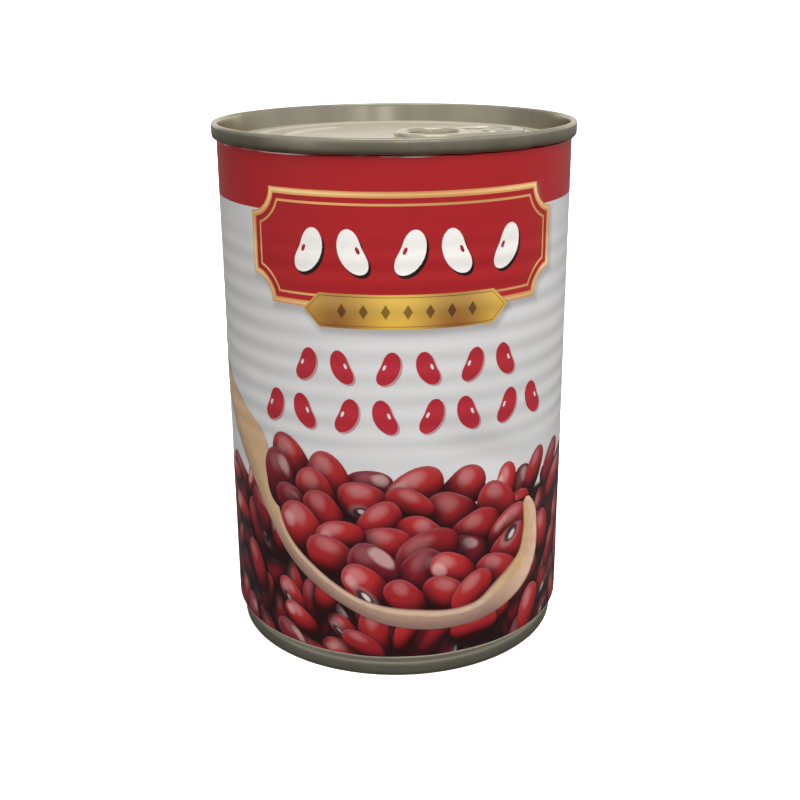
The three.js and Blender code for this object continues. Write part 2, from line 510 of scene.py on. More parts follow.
def plaque_tone(look, across, up, tone, red, colours):
    """A board with hollowed corners, gold round its edge and along a thin line inside.

    Its depth inside the outline is the least of the distances to the sides and the corners' arcs.
    """
    middle, half, tall, notch = PLAQUE

    def depth(x, y):
        side = half - abs(x)
        end = tall - abs(y)
        return side.least(end).least((side * side + end * end).root() - notch)

    shadow = depth(across - 0.7, up - middle + 0.9).rise(-1.3, 0.7)
    deep = depth(across, up - middle)
    glow = (up * 0.42 + across * 0.11).sine() * 0.5 + 0.5
    gold = look.mix(glow, np.array(colours.gold) * 0.72, colours.gold)
    pale = look.mix(glow, colours.gold, linear(240, 208, 150))
    return look.coats(
        tone,
        (shadow * 0.4, linear(120, 108, 104)),
        (deep.rise(-0.05, 0.05), gold),
        (deep.rise(0.2, 0.4) * (1 - deep.rise(0.6, 0.9)), pale),
        (deep.rise(1.1, 1.2), red),
        (deep.rise(2.1, 2.2), gold),
        (deep.rise(2.55, 2.65), red))


def bar_tone(look, across, up, tone):
    """A gold bar with pointed ends, bright and dark by turns, with a row of small diamonds."""
    middle, half, tall = BAR

    def depth(x, y):
        return (tall - abs(y)).least((half - abs(x) - abs(y)) * 0.7)

    shadow = depth(across - 0.6, up - middle + 0.8).rise(-1.2, 0.6)
    height = up - middle
    deep = depth(across, height)
    glow = (across * (5.6 / half) + 0.6).cosine() * 0.5 + 0.5
    gold = look.coats(
        linear(138, 88, 38), (glow, linear(208, 166, 66)),
        (height.rise(-3, 3) * 0.25, linear(236, 206, 120)))
    dark = look.mix(glow, linear(84, 50, 24), linear(122, 88, 30))
    line = deep.rise(0.4, 0.46) * (1 - deep.rise(0.56, 0.62))
    diamond = 0.95 - across.math("PINGPONG", 2.1) - abs(height) * 0.62
    inside = 1 - abs(across).rise(15.6, 15.7)
    return look.coats(
        tone,
        (shadow * 0.45, linear(104, 88, 80)),
        (deep.rise(-0.05, 0.05), gold),
        (line * 0.75, dark),
        (diamond.rise(0, 0.12) * inside * 0.9, dark))


def paper_look(sizes, colours):
    """Label stock: white field, plain band, plaque and bar, dark ground behind the heap."""
    look = Look("Label paper", **PRINT)
    vector, place = look.place()
    arc, height, _ = look.reads("wrap")
    paper, band_red = np.array(colours.paper), np.array(colours.band)
    fibre = look.noise(vector, 3.5, 4)
    cloud = look.noise(vector, 0.06, 2)
    red = look.mix(cloud.rise(0.3, 0.7) * 0.5, band_red, band_red * 1.12)
    band = height - sizes.band_from / MM
    tone = look.coats(
        paper * 0.94, (cloud.rise(0.25, 0.75), paper), (fibre.rise(0.45, 0.7) * 0.08, paper * 0.8),
        (band.rise(-0.08, 0.08), red))
    tone = plaque_tone(look, arc - PRINT_MIDDLE, height, tone, red, colours)
    tone = bar_tone(look, arc - PRINT_MIDDLE, height, tone)
    wave = (arc * (1 / LABEL_R) - HEAP_TURN).sine() * HEAP_WAVE
    ground = 1 - (height - wave - (sizes.heap_top / MM - HEAP_GROUND)).rise(-0.6, 0.6)
    torn = look.noise(vector, 0.07, 3).rise(0.42, 0.6)
    edge = (height - LABEL_TO + 0.06 + torn * 0.2).rise(0, 0.08)
    tone = look.coats(
        tone, (ground, linear(30, 10, 13)), (edge * torn * 0.85, linear(226, 204, 198)))
    return look.on_paper(tone, place, fibre, sizes, Coat_Weight=0.2 + 0.15 * (cloud - 0.5))


def bean_look(sizes, colours):
    """A printed bean: a rounded form lit from one side, in a disc's coordinates.

    The UV map gives the disc, bean_light the light's direction and the tone, bean_eye the
    place of the pale eye and the shade that higher beans cast.
    """
    look = Look("Printed beans", **PRINT)
    vector, place = look.place()
    u, v, _ = look.reads("bean")
    light_u, light_v, tone = look.reads("bean_light")
    eye_u, eye_v, shade = look.reads("bean_eye")
    out = u * u + v * v
    high = (1 - out).root()
    facing = u * light_u + v * light_v
    beside = v * light_u - u * light_v
    fibre = look.noise(vector, 0.55, 4, Roughness=0.6)
    broken = fibre - 0.5
    bean = np.array(colours.bean)
    lit = (facing * 0.82 + high * 0.52).rise(-0.42, 0.98)
    rim = out.rise(0.6, 1.0)
    # Two soft reflections of the room: a wide one on the lit side and a small one beside it
    wide = (facing * 0.60 + high * 0.80 + broken * 0.09).rise(0.84, 1.03)
    small = (facing * 0.45 + beside * tone * 0.62 + high * 0.76 + broken * 0.07).rise(0.92, 1.03)
    # The eye: a grey bloom, a dark hollow set towards the bean's edge, and a pale scar
    away_u, away_v = (u - eye_u) * 0.66, (v - eye_v) * 1.2
    hollow_v = (v - eye_v * 1.16) * 1.05
    away = (away_u * away_u + away_v * away_v).root()
    hollow = (away_u * away_u + hollow_v * hollow_v).root()
    colour = look.coats(
        bean * 0.07,
        (lit.rise(0.0, 0.7), bean),
        (lit.rise(0.5, 1.0) * (tone * 0.32 + 0.4), linear(190, 54, 50)),
        (tone.rise(-0.1, -1.0) * 0.6, linear(84, 24, 40)),
        (lit * broken.rise(0.05, 0.3) * 0.35, linear(104, 22, 30)),
        (rim * facing.rise(0.2, 0.9) * 0.45, linear(150, 96, 104)),
        (rim * (1 - facing.rise(-0.5, 0.4)) * 0.7, bean * 0.07),
        (wide * (tone * 0.2 + 0.4), linear(206, 152, 152)),
        (small * 0.55, linear(222, 188, 184)),
        ((1 - away.rise(0.3, 0.56)) * 0.4, linear(150, 124, 128)),
        ((1 - hollow.rise(0.22, 0.36)) * 0.88, linear(40, 22, 27)),
        ((1 - away.rise(0.09, 0.19)) * 0.95, linear(210, 203, 194)),
        (1 - shade, linear(24, 7, 10)))
    return look.on_paper(colour, place, fibre, sizes)


def wood_look(sizes, colours):
    """Printed wood: a grained handle, then a rim with a lit lip and a darker outer side."""
    look = Look("Printed wood", **PRINT)
    _, spot = look.place()
    along, across, wide = look.reads("spoon")
    place = look.node("ShaderNodeCombineXYZ", None, along * 0.10, across * 0.9, 0).outputs[0]
    grain = look.noise(place, 4.0, 4)
    wood = np.array(colours.wood)
    lines = grain.rise(0.3, 0.7)
    handle = look.coats(
        wood, (lines * 0.35, wood * 0.84),
        ((1 - across.rise(0.0, 0.5)) * 0.6, linear(146, 116, 98)))
    lip = across.rise(0.6, 0.74) * (1 - across.rise(0.86, 0.98))
    inside = look.mix(across.rise(0.1, 0.9), linear(226, 188, 162), linear(206, 168, 122))
    rim = look.coats(
        linear(134, 104, 94),
        (across.rise(0.05, 0.66), linear(170, 138, 120)),
        (lip * 0.85, linear(214, 184, 156)),
        (along.rise(SPOON_FAR, SPOON_FAR + 16), inside),
        (lines * 0.2, linear(140, 108, 90)),
        (across.rise(0.88, 1.0) * 0.6, linear(110, 66, 52)))
    colour = look.coats(
        rim, (wide, handle), ((1 - across.rise(0.0, 0.06)) * 0.5, linear(92, 60, 48)))
    return look.on_paper(colour, spot, grain, sizes)


def ink_look(sizes):
    """Flat inks, with a faint mottle."""
    look = Look("Printed inks", **PRINT)
    vector, place = look.place()
    ink = look.node("ShaderNodeAttribute", {"attribute_name": "ink"}).outputs["Vector"]
    fibre = look.noise(vector, 3.5, 4)
    colour = look.mix(fibre.rise(0.4, 0.75) * 0.1, ink, (0.02, 0.01, 0.01))
    return look.on_paper(colour, place, fibre, sizes)


# Flat shapes of the print, in arc and height


def disc(spacing, sides):
    """A unit disc: a middle vertex and rings at the spacing's radii. Returns points and faces."""
    angle = np.arange(sides) * 2 * pi / sides
    radius = np.array(spacing)[:, None]
    around = join(radius * np.cos(angle), radius * np.sin(angle))
    here = np.arange(sides)
    fan = join(0, 1 + here, 1 + (here + 1) % sides).tolist()
    quads = grid_faces(len(spacing), sides, round_columns=True) + 1
    points = np.concatenate([np.zeros((1, 2)), around.reshape(-1, 2)])
    return points, fan + quads[:, ::-1].tolist()


def bent(unit, long, wide, curve):
    """The disc stretched to a bean with full ends, then bent along a circle.

    With R = long / curve: x = (R + w) sin(curve u), y = (R + w) cos(curve u) - R, where
    w = wide v (1 + 0.22 u^2). The hollow side is the one with v below 0 if curve is above 0.
    """
    u, v = unit[..., 0], unit[..., 1]
    radius = long / curve
    out = radius + wide * v * (1 + 0.22 * u ** 2)
    middle = radius * (1 + np.cos(curve)) / 2
    return out * np.sin(curve * u), out * np.cos(curve * u) - middle


def beans(middles, angles, longs, wides, bends, unit):
    """All beans at once: the unit disc bent, turned by each angle and moved to each middle."""
    x, y = bent(unit[None], longs[:, None], wides[:, None], bends[:, None])
    return join(*rotated(x, y, angles[:, None])) + middles[:, None]


def spines(middles, angles, longs):
    """Three places along each bean's middle line."""
    along = np.array((-0.58, 0, 0.58))[None, :, None] * longs[:, None, None]
    return middles[:, None] + along * join(np.cos(angles), np.sin(angles))[:, None]


def overlap_levels(middles, angles, longs, wides, count, draw):
    """A level for each bean that no bean it overlaps has, picked at random where it can be."""
    levels = np.full(len(middles), -1)
    lines = spines(middles, angles, longs)
    gap = np.abs(lines[:, None, :, None] - lines[None, :, None])
    gap[..., 0] = np.minimum(gap[..., 0], 2 * HALF_ROUND - gap[..., 0])
    near = np.hypot(gap[..., 0], gap[..., 1]).min(axis=(2, 3)) < (wides[:, None] + wides[None]) * 1.02
    for i in np.argsort(-near.sum(1)):
        taken = set(levels[near[i] & (levels >= 0)])
        free = [n for n in range(count) if n not in taken]
        levels[i] = draw.choice(free) if free else draw.integers(count)
    return levels


def cast_shade(flat, middles, angles, longs, wides, levels):
    """Shade of each bean's points: beans on higher levels darken what lies close below them."""
    shade = np.ones(flat.shape[:2])
    for i in range(len(middles)):
        gap = middles - middles[i]
        above = (levels > levels[i]) & (np.hypot(*gap.T) < 2.5 * longs.max())
        if not above.any():
            continue
        away = flat[i][:, None] - middles[above][None] - (0.2, -0.8)
        p, q = rotated(away[..., 0], away[..., 1], -angles[above])
        p, q = p / (longs[above] + 0.4), q / (wides[above] + 0.4)
        near = np.clip(1.55 - np.hypot(p, q), 0, 0.6) / 0.6
        shade[i] *= np.prod(1 - 0.84 * near ** 1.3, axis=1)
    return shade


# A place far outside the disc, for a bean whose eye is hidden
NO_EYE = 5.0


def print_beans(
        name, middles, angles, draw, sizes, material, half, ratio, levels, first, rings, seen, dim):
    """One piece of printed beans from arrays of their places, turns and levels.

    Levels may be a count, and then each bean gets one below it that its neighbours don't have.
    Half is half a bean's length, ratio its width by its length, seen the share of open eyes and
    dim how bright the lowest level is.
    """
    count = len(middles)
    longs = half * draw.uniform(0.84, 1.12, count)
    wides = longs * ratio * draw.uniform(0.88, 1.16, count)
    bends = draw.uniform(0.1, 0.55, count) * draw.choice([-1, 1], count)
    if np.isscalar(levels):
        levels = overlap_levels(middles, angles, longs, wides, levels, draw)
    unit, faces = disc(*rings)
    flat = beans(middles, angles, longs, wides, bends, unit)
    sun = np.radians(104 + draw.normal(0, 12, count)) - angles
    tone = draw.uniform(-1, 1, count)
    shade = cast_shade(flat, middles, angles, longs, wides, levels)
    depth = dim + (1 - dim) * (levels / max(1, levels.max())) ** 0.7
    eyes = np.full((count, 2), NO_EYE)
    open_eyes = draw.uniform(size=count) < seen
    hollow = join(draw.uniform(-0.4, 0.4, count), -0.5 * np.sign(bends))
    eyes[open_eyes] = hollow[open_eyes]
    light = join(np.cos(sun), np.sin(sun), tone)
    points = len(unit)
    all_faces = [[v + o for v in f] for o in np.arange(count) * points for f in faces]
    return finish_print(
        name, flat.reshape(-1, 2), all_faces, np.repeat(first + levels, points), material, sizes,
        bean=np.tile(unit, (count, 1)), bean_light=np.repeat(light, points, 0),
        bean_eye=join(*eyes.T[..., None], shade * depth[:, None]).reshape(-1, 3))


def finish_print(name, flat, faces, level, material, sizes, **attributes):
    """Trims flat shapes at the label's lower edge, wraps them on the paper and adds the piece."""
    keep = LABEL_FROM + 0.05
    low = flat[:, 1] < keep
    faces = [f for f in faces if not all(low[v] for v in f)]
    flat = flat.copy()
    flat[:, 1] = np.maximum(flat[:, 1], keep)
    used = np.unique(np.concatenate([np.array(f) for f in faces]))
    new = np.zeros(len(flat), int)
    new[used] = np.arange(len(used))
    faces = [[new[v] for v in f] for f in faces]
    flat, lift = flat[used], INK_FIRST + INK_STEP * np.asarray(level)[used]
    attributes = {key: np.asarray(value)[used] for key, value in attributes.items()}
    points, normals = on_label(flat[:, 0], flat[:, 1], lift, sizes)
    return add_piece(name, points, faces, material, "label_paper", normals=normals, **attributes)


# The spoon's outline: from the handle at the left, round under the bowl, to the tip
SPOON_OUTER = np.array([
    (-65.0, 75.9), (-63.9, 73.0), (-58.0, 66.2), (-50.0, 57.0), (-41.9, 47.3), (-36.8, 41.8),
    (-32.6, 36.7), (-28.7, 31.4), (-23.4, 24.9), (-17.9, 20.5), (-10.8, 16.4), (-3.9, 13.3),
    (3.5, 11.7), (11.3, 11.2), (19.6, 12.0), (26.6, 14.2), (31.5, 17.6), (34.1, 22.5),
    (34.2, 28.2), (33.3, 32.8), (31.2, 35.6), (29.9, 36.0)])
SPOON_INNER = np.array([
    (-64.6, 76.4), (-61.9, 75.6), (-57.0, 69.8), (-50.0, 62.0), (-38.5, 55.2), (-30.6, 50.6),
    (-28.0, 44.0), (-26.4, 36.0), (-23.0, 29.2), (-16.0, 23.4), (-8.6, 19.0), (-2.6, 17.1),
    (4.0, 16.2), (11.0, 15.5), (16.8, 16.2), (20.9, 19.0), (25.2, 21.9), (28.0, 24.4),
    (29.2, 28.6), (29.2, 32.0), (29.0, 34.8), (29.6, 35.8)])
SPOON_COUNT = 320
SPOON_TOP = SPOON_LEVEL + 16
# Distance along the outer outline where the rim's far side begins to show
SPOON_FAR = 112.0
# Corners of the outlines, counted from the handle's end: where the handle has narrowed to the
# rim, where the rim comes up over the beans, and where the dark ground in the bowl begins
RIM_FROM, RIM_OVER, BOWL_FROM = 8.3, 7.45, 7.1


def smooth_path(corners, count):
    """Points along a Catmull-Rom curve through the corners."""
    before, past = 2 * corners[0] - corners[1], 2 * corners[-1] - corners[-2]
    ends = np.concatenate([[before], corners, [past]])
    at = np.linspace(0, len(corners) - 1, count)
    i = np.minimum(at.astype(int), len(corners) - 2)
    t = (at - i)[:, None]
    p0, p1, p2, p3 = (ends[i + k] for k in range(4))
    return 0.5 * (
        2 * p1 + (p2 - p0) * t + (2 * p0 - 5 * p1 + 4 * p2 - p3) * t ** 2
        + (3 * p1 - p0 - 3 * p2 + p3) * t ** 3)


def heap_outline(arc, sizes):
    """Top of the printed heap round the can."""
    return sizes.heap_top / MM + HEAP_WAVE * np.sin(arc / LABEL_R - HEAP_TURN)


def in_spoon(middles):
    """Whether a place is inside the spoon's outline, where heap beans would be hidden."""
    outer = smooth_path(SPOON_OUTER, 90)
    arc, z = middles.T
    beside_tip = (arc > 20) & (z > 33)
    over = z > np.interp(arc, outer[:, 0], outer[:, 1]) + 3.0
    return (arc > -40) & (arc < 30) & over & ~beside_tip


# Operators


def settings():
    scene = bpy.context.scene
    return scene.can_sizes, scene.can_colours


class CAN_OT_stage(bpy.types.Operator):
    """Adds the floor with its raised rim far off, the lights and the camera"""

    bl_idname = "can.stage"
    bl_label = "Stage"

    def execute(self, context):
        scene = context.scene
        scene.view_settings.view_transform = "Standard"
        floor_look = Look("Pale floor", Roughness=0.9, Base_Color=(0.9, 0.9, 0.9, 1))
        floor_look.shader.inputs["Emission Color"].default_value = (1, 1, 1, 1)
        floor_look.shader.inputs["Emission Strength"].default_value = 0.75
        turn = np.arange(64) * pi / 32
        points = [(r * cos(t), r * sin(t), z) for r, z in FLOOR_RINGS for t in turn]
        mesh = bpy.data.meshes.new("floor")
        mesh.from_pydata(points, [], [list(range(64))] + grid_faces(2, 64, round_columns=True).tolist())
        mesh.materials.append(floor_look.material)
        floor = bpy.data.objects.new("floor", mesh)
        scene.collection.objects.link(floor)
        floor.visible_diffuse = False
        floor.visible_glossy = False
        add_lights(scene)
        add_camera(scene)
        return {"FINISHED"}


# Radius and height of the floor's edge and of its raised rim, in metres
FLOOR_RINGS = ((6.8, 0.0), (7.8, 1.1))
CAMERA_AT = (0.877, -246.37, 133.17)
CAMERA_PITCH = radians(18.953)
CAMERA_ROLL = radians(0.3606)
CAMERA_LENS = 52.535


def add_camera(scene):
    """Camera where the photograph was taken from: looks along +Y, pitched down, rolled a little."""
    data = bpy.data.cameras.new("camera")
    data.lens = CAMERA_LENS
    data.clip_start = 0.01
    data.clip_end = 100
    camera = bpy.data.objects.new("camera", data)
    right = np.array((1, 0, 0))
    up = np.array((0, sin(CAMERA_PITCH), cos(CAMERA_PITCH)))
    ahead = np.array((0, cos(CAMERA_PITCH), -sin(CAMERA_PITCH)))
    camera.matrix_world = matrix(
        (*rotated(right, up, CAMERA_ROLL), -ahead), np.array(CAMERA_AT) * MM)
    scene.collection.objects.link(camera)
    scene.camera = camera


def add_lights(scene):
    """Soft studio light: panels by turn from the front, rise, distance, size, power and shine.

    The large panels in front light the paper but aren't mirrored in the metal. The thin ones are
    windows that the lid mirrors, and the room is a little darker on the left behind the can.
    """
    panels = {
        "key": (29, 45, 1.2, (0.9, 0.9), 15.2, False),
        "left": (-62, 20, 1.1, (0.28, 0.8), 3.7, False),
        "low left": (-60, -0.8, 0.6, (0.34, 0.095), 0.02, True),
        "behind": (175, 12, 1.2, (2.4, 0.5), 1.1, True),
        "top": (0, 88, 1.3, (0.8, 0.8), 2.0, True),
        "back": (180, 38, 1.2, (0.9, 0.9), 9.0, False),
        "window 1": (24, 15, 1.2, (0.05, 0.36), 0.06, True),
        "window 2": (10, 15, 1.2, (0.045, 0.36), 0.05, True),
        "window 3": (4.5, 15, 1.2, (0.06, 0.36), 0.09, True),
    }
    for name, (turn, rise, away, (wide, high), power, mirrored) in panels.items():
        turn, rise = radians(turn), radians(rise)
        out = np.array((sin(turn) * cos(rise), -cos(turn) * cos(rise), sin(rise)))
        data = bpy.data.lights.new(name, "AREA")
        data.shape = "RECTANGLE"
        data.size, data.size_y = wide, high
        data.energy = power
        lamp = bpy.data.objects.new(name, data)
        side = np.cross((0, 0, 1), out)
        side = side / np.linalg.norm(side)
        lamp.matrix_world = matrix((side, np.cross(out, side), out), out * away + (0, 0, 0.06))
        lamp.visible_glossy = mirrored
        scene.collection.objects.link(lamp)
    world = bpy.data.worlds.new("pale room")
    world.use_nodes = True
    nodes = Nodes(world.node_tree)
    way = nodes.node("ShaderNodeTexCoord").outputs["Generated"]
    side, front, up = nodes.split(way)
    sky = world.node_tree.nodes["Background"]
    dim = (side * -0.9 + front * 0.42).rise(0.65, 1.0) * 0.4
    sky_light = up.rise(-0.12, 0.15) * 0.3 + up.rise(-0.5, -0.3) * 0.1 + 0.14
    nodes.put(sky.inputs["Strength"], sky_light * (1 - dim))
    sky.inputs["Color"].default_value = (1, 1, 1, 1)
    scene.world = world


def matrix(axes, place):
    """The matrix of an object at a place, from its three axes."""
    whole = np.eye(4)
    whole[:3, :3] = np.stack(axes, 1)
    whole[:3, 3] = place
    return Matrix(whole.tolist())


class CAN_OT_body(bpy.types.Operator):
    """Adds the steel wall with its drawn-in neck"""

    bl_idname = "can.body"
    bl_label = "Body"

    def execute(self, context):
        sizes, colours = settings()
        t = np.linspace(0, 1, 13)
        neck = np.stack([
            NECK_R + (WALL_R - NECK_R) * (1 - np.cos(pi * t)) / 2,
            NECK_FROM + (NECK_TO - NECK_FROM) * t], -1)
        wall = np.array([(WALL_R, NECK_TO), (WALL_R, WALL_TO)])
        profile = np.concatenate([
            [(0, NECK_FROM + 1.3), (NECK_R - 1, NECK_FROM + 1.3), (NECK_R - 1, NECK_FROM)],
            neck, resampled(wall, 1.0)[1:], [(0, WALL_TO)]])
        points, faces, angle = turned(profile, 180)
        radius = np.hypot(points[:, 0], points[:, 1])
        arc = LABEL_R * np.arctan2(points[:, 0], -points[:, 1])
        share = 1 - dent(arc, points[:, 2], sizes.dent_depth / MM + 0.15) / LABEL_R
        points[:, :2] *= np.where(radius > WALL_R - 0.5, share, 1)[:, None]
        look = steel_look("Body steel", colours.lid, 0.6, 6.0, 0.9, metal=0.3)
        add_piece("body_wall", points, faces, look, "body_steel", ["can_body"])
        return {"FINISHED"}


class CAN_OT_label(bpy.types.Operator):
    """Adds the paper sheet, wound once round the wall with a lap at the back"""

    bl_idname = "can.label"
    bl_label = "Label"

    def execute(self, context):
        sizes, colours = settings()
        columns, rows, skip = 330, 201, 4
        arc = np.linspace(-HALF_ROUND, HALF_ROUND + LAP_LENGTH, columns)
        a, t = np.meshgrid(arc, np.linspace(0, 1, rows))
        edge = 0.08 * waves(a / LABEL_R, (3, 8, 17), (0.5, 1.1, 2.3))
        z = LABEL_FROM + (LABEL_TO - LABEL_FROM) * t + edge * (2 * t - 1) + 0.05 * t
        # The sheet's start lies under the lap, so only its end climbs.
        outer = wall_radius(a, z, sizes) + np.where(a > 0, lap_rise(a), 0)
        angle = a / LABEL_R
        outside, inside = [
            np.stack([r * np.sin(angle), -r * np.cos(angle), z], -1) for r in (outer, outer - PAPER + 0.01)]
        inside = inside[::skip]
        first = rows * columns
        last_row = (len(inside) - 1) * columns
        along = np.arange(columns - 1)
        faces = grid_faces(rows, columns).tolist()
        faces += (grid_faces(len(inside), columns)[:, ::-1] + first).tolist()
        faces += np.stack([along + 1, along, along + first, along + first + 1], -1).tolist()
        up = first - columns + along
        over = first + last_row + along
        faces += np.stack([up, up + 1, over + 1, over], -1).tolist()
        for side in (0, columns - 1):
            out_line = np.arange(rows) * columns + side
            in_line = first + np.arange(len(inside)) * columns + side
            loop = np.concatenate([out_line, in_line[::-1]]).tolist()
            faces.append(loop if side else loop[::-1])
        wrap = np.stack([a, z], -1)
        add_piece(
            "label_paper", np.concatenate([outside.reshape(-1, 3), inside.reshape(-1, 3)]), faces,
            paper_look(sizes, colours), "label_paper", ["label"],
            wrap=np.concatenate([wrap.reshape(-1, 2), wrap[::skip].reshape(-1, 2)]))
        return {"FINISHED"}


class CAN_OT_heap(bpy.types.Operator):
    """Adds the heap of beans printed round the lower part of the label"""

    bl_idname = "can.heap"
    bl_label = "Printed heap"

    def execute(self, context):
        sizes, colours = settings()
        draw = np.random.default_rng(sizes.seed)
        pitch_arc, pitch_z = 6.2, 4.6
        columns = round(2 * HALF_ROUND / pitch_arc)
        column, row = np.meshgrid(np.arange(columns), np.arange(10))
        arc = (column + 0.5 * (row % 2)) * 2 * HALF_ROUND / columns - HALF_ROUND
        middles = np.stack([arc, heap_outline(arc, sizes) - 3.6 - row * pitch_z], -1).reshape(-1, 2)
        middles += draw.uniform(-1, 1, middles.shape) * (1.7, 1.4)
        middles = middles[middles[:, 1] > LABEL_FROM - 2.0]
        middles = middles[~in_spoon(middles)]
        count = len(middles)
        lean = np.where(middles[:, 0] < 0, -58, 66) + draw.normal(0, 27, count)
        lean = np.where(np.abs(middles[:, 0]) < 56, lean, draw.uniform(-90, 90, count))
        print_beans(
            "print_heap", middles, np.radians(lean), draw, sizes, bean_look(sizes, colours),
            sizes.heap_bean / MM, 0.46, HEAP_LEVELS, 1, ((0.22, 0.42, 0.6, 0.76, 0.89, 1.0), 22),
            0.04, 0.58)
        return {"FINISHED"}


class CAN_OT_spoon(bpy.types.Operator):
    """Adds the printed spoon and the beans in it"""

    bl_idname = "can.spoon"
    bl_label = "Printed spoon"

    def execute(self, context):
        sizes, colours = settings()
        self.wood(sizes, colours)
        self.contents(sizes, colours)
        return {"FINISHED"}

    def wood(self, sizes, colours):
        """The strip between the outer and the inner outline."""
        count, across = SPOON_COUNT, 25
        outer, inner = smooth_path(SPOON_OUTER, count), smooth_path(SPOON_INNER, count)
        t = np.linspace(0, 1, across)
        flat = outer[:, None] + (inner - outer)[:, None] * t[None, :, None]
        along = np.concatenate([[0], np.cumsum(np.linalg.norm(np.diff(outer, axis=0), axis=1))])
        index = np.linspace(0, len(SPOON_OUTER) - 1, count)
        wide, under = np.clip(((RIM_FROM - index) / 1.8, (RIM_OVER - index) / 0.3), 0, 1)
        spoon = join(along[:, None], t, ease(wide)[:, None])
        # The handle lies below the beans and the rim above them.
        level = (SPOON_LEVEL + 1) * under + SPOON_TOP * (1 - under)
        # Rows run along the spoon and columns across it, so the faces are turned to face out.
        faces = grid_faces(count, across)[:, ::-1]
        finish_print(
            "print_spoon", flat.reshape(-1, 2), faces.tolist(), np.repeat(level, across),
            wood_look(sizes, colours), sizes, spoon=spoon.reshape(-1, 3))

    def contents(self, sizes, colours):
        """A dark ground from the rim up to a line in the bowl, and rows of larger beans on it."""
        below = round(BOWL_FROM * SPOON_COUNT / (len(SPOON_OUTER) - 1))
        outer, inner = (smooth_path(c, SPOON_COUNT)[below:] for c in (SPOON_OUTER, SPOON_INNER))
        start = (outer + inner) / 2
        line = np.stack([inner[:, 0] * 0.62 + 2.0, 40.2 - 0.14 * inner[:, 0]], -1)
        share = np.linspace(0, 1, 36)[None, :, None]
        ground = (start[:, None] + (line - start)[:, None] * share).reshape(-1, 2)
        finish_print(
            "print_spoon_ground", ground, grid_faces(len(start), 36)[:, ::-1].tolist(),
            np.full(len(ground), SPOON_LEVEL), ink_look(sizes), sizes,
            ink=np.broadcast_to(linear(34, 12, 15), (len(ground), 3)))
        draw = np.random.default_rng(sizes.seed + 1)
        rows = [
            (42.4, -22.0, 12.0, 5), (38.4, -25.0, 21.0, 6), (33.8, -22.6, 24.5, 6),
            (29.0, -18.6, 24.0, 6), (24.2, -14.0, 21.0, 5), (19.6, -7.0, 16.5, 4)]
        middles, order = [], []
        for i, (z, left, right, count) in enumerate(rows):
            spots = np.linspace(left, right, count)
            middles.append(np.stack([spots, z - 0.12 * spots], -1))
            order.append(2 * i + np.arange(count) % 2)
        middles = np.concatenate(middles)
        middles = middles + draw.uniform(-1, 1, middles.shape) * (1.3, 0.9)
        angles = np.radians(np.where(
            middles[:, 0] < -14, draw.uniform(-85, -35, len(middles)), draw.uniform(-46, 58, len(middles))))
        print_beans(
            "print_spoon_beans", middles, angles, draw, sizes, bean_look(sizes, colours),
            sizes.spoon_bean / MM, 0.7, np.concatenate(order), SPOON_LEVEL + 2,
            ((0.17, 0.34, 0.5, 0.66, 0.8, 0.91, 1.0), 32), 0.26, 0.85)


class CAN_OT_lid(bpy.types.Operator):
    """Adds the lid with its double seam, groove, score line and beads"""

    bl_idname = "can.lid"
    bl_label = "Lid"

    def execute(self, context):
        sizes, colours = settings()
        under = HEIGHT - SEAM_DROP
        corners = [
            (0, LID_LOW[2]), (WALL_R - 0.3, LID_LOW[2], 0), (WALL_R - 0.3, under, 0),
            (SEAM_R, under, 0.9), (SEAM_R, HEIGHT, 0.7), (SEAM_INNER_R, HEIGHT, 0.6),
            (CHUCK_R, GROOVE_Z, 0.5),
            (RING_R + 0.9, GROOVE_Z, 0.45), (RING_R + 0.3, RING_Z, 0.35),
            (SCORE_R + 0.35, RING_Z, 0), (SCORE_R, RING_Z - 0.09, 0), (SCORE_R - 0.35, RING_Z, 0),
            (BEAD_R + 1.3, RING_Z, 0.4), (BEAD_R, PANEL_Z + 0.36, 1.0), (BEAD_R - 1.4, PANEL_Z, 0.5),
            (0, PANEL_Z)]
        profile = resampled(rounded(corners), 0.55)
        points, faces, angle = turned(profile, 288)
        radius = np.hypot(points[:, 0], points[:, 1])
        low = np.clip((HEIGHT - 1.6 - points[:, 2]) / 1.4, 0, 1) * (radius > SEAM_INNER_R)
        points[:, 2] += 0.13 * low * waves(angle, (7, 12, 23, 37), (0.3, 1.9, 0.8, 2.2))
        on_panel = (radius < BEAD_R - 1.2) & (points[:, 2] > PANEL_Z - 0.05)
        points[:, 2] += np.where(on_panel, panel_relief(points[:, 0], points[:, 1]), 0)
        # Painted shade on the seam's outer face, darker from near its top down to its lower edge
        painted_shade = (HEIGHT - 0.6, HEIGHT - SEAM_DROP + 0.3, SEAM_INNER_R + 0.7)
        look = steel_look("Lid steel", colours.lid, 0.22, 0.012, 0.86, painted_shade, lacquer=CHUCK_R - 0.4)
        add_piece("lid", points, faces, look, "lid_steel", ["end_top"])
        return {"FINISHED"}


def panel_relief(x, y):
    """Height of the panel's pressed forms: a finger well, a ring round the rivet, a long bead."""
    along, beside = rotated(x - RIVET_AT[0], y - RIVET_AT[1], -TAB_TURN)
    well = np.hypot((along + 14.5) / 9.0, beside / 7.5)
    depth = -0.45 / (1 + np.exp((well - 1) * 14))
    coin = 0.12 * np.exp(-((np.hypot(along, beside) - 4.6) / 0.5) ** 2)
    far = np.hypot(x, y)
    turn = np.degrees(np.arctan2(y, x))
    away = np.abs((turn - 198 + 180) % 360 - 180)
    bead = 0.3 * np.exp(-((far - 23.5) / 0.8) ** 2) / (1 + np.exp((away - 75) / 1.5))
    return depth + coin + bead


